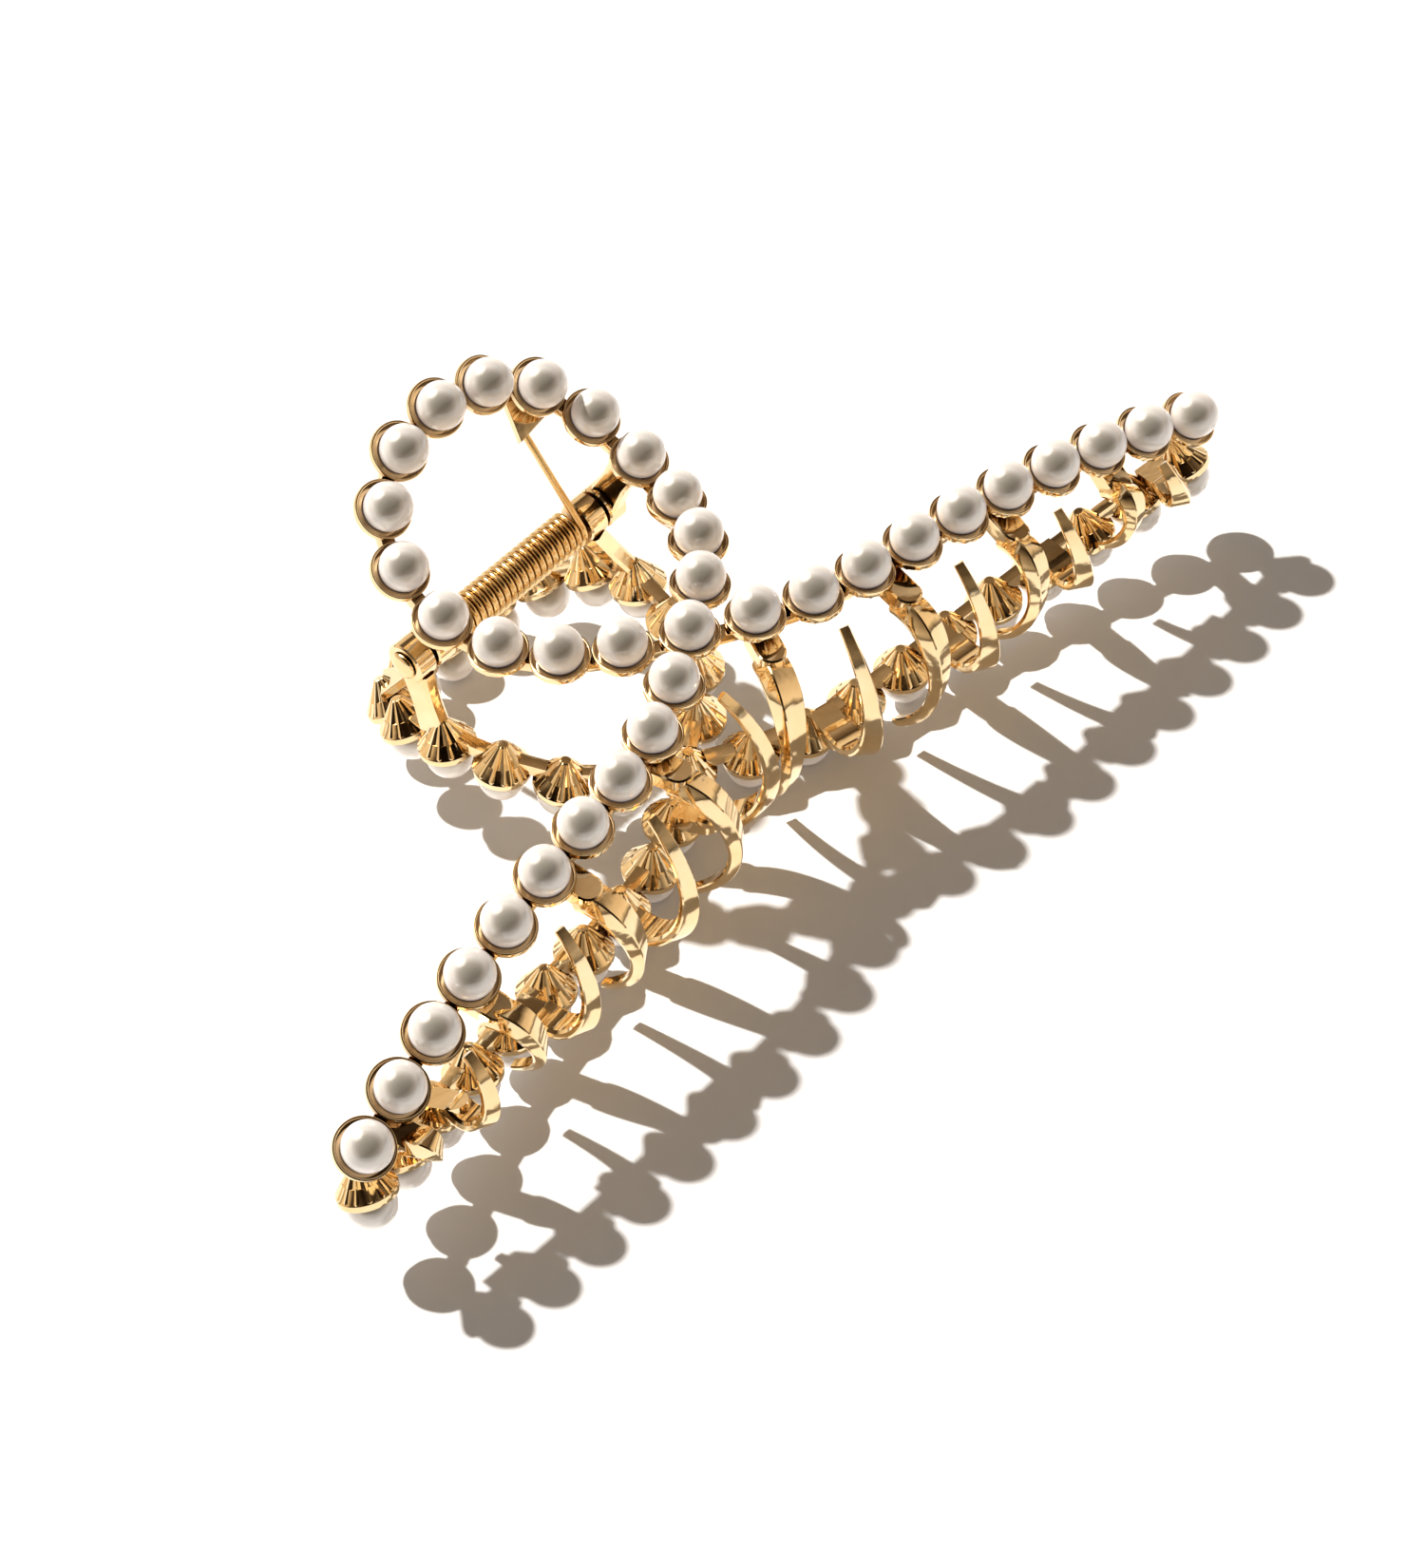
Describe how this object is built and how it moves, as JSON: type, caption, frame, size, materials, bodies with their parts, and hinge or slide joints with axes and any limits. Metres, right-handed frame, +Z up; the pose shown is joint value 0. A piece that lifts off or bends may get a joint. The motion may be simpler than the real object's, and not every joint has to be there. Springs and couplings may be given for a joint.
{
  "type": "claw clip",
  "caption": "Sprung claw hair clip: two cast jaws with looped handles, long curved arms and hooked teeth, each set with a strand of imitation pearls, on one hinge pin.",
  "frame": {"origin": "on the table plane that the lowest pearls stand on, under the middle of the clip's outline; the hinge pin's axis runs 19.91 mm above it and 14.35 mm towards +Y", "axes": "+X along the hinge pin and the long arms, +Z up with the clip lying on its back jaw, +Y towards the handle loops"},
  "size_m": [0.1282, 0.0593, 0.0431],
  "materials": {
    "gold_casting": "polished pale gold plating over a die-cast body",
    "gold_wire": "polished gold-plated steel wire",
    "pin_metal": "polished gold-plated steel",
    "pearl": "pearlescent cream lacquer",
    "glue": "clear hard adhesive, slightly yellow"
  },
  "bodies": {
    "back": {"back_jaw": "gold_casting", "back_pearls_left_arm": "pearl", "back_pearls_right_arm": "pearl", "back_pearls_loop_left": "pearl", "back_pearls_loop_right": "pearl", "back_pearls_crossing": "pearl", "back_pearls_crown": "pearl", "back_glue_left_arm": "glue", "back_glue_right_arm": "glue", "back_glue_loop": "glue", "hinge_pin": "pin_metal", "torsion_spring": "gold_wire"},
    "front": {"front_jaw": "gold_casting", "front_pearls_left_arm": "pearl", "front_pearls_right_arm": "pearl", "front_pearls_loop_left": "pearl", "front_pearls_loop_right": "pearl", "front_pearls_crossing": "pearl", "front_pearls_crown": "pearl", "front_glue_left_arm": "glue", "front_glue_right_arm": "glue", "front_glue_loop": "glue"}
  },
  "joints": [
    {"name": "jaw_hinge", "type": "hinge", "parent": "back", "child": "front", "pos_m": [0, 0.01435, 0.01991], "axis": [-1, 0, 0], "range_deg": [0, 70], "stiffness_Nm_per_rad": 0.021, "deforming": ["torsion_spring"]}
  ]
}
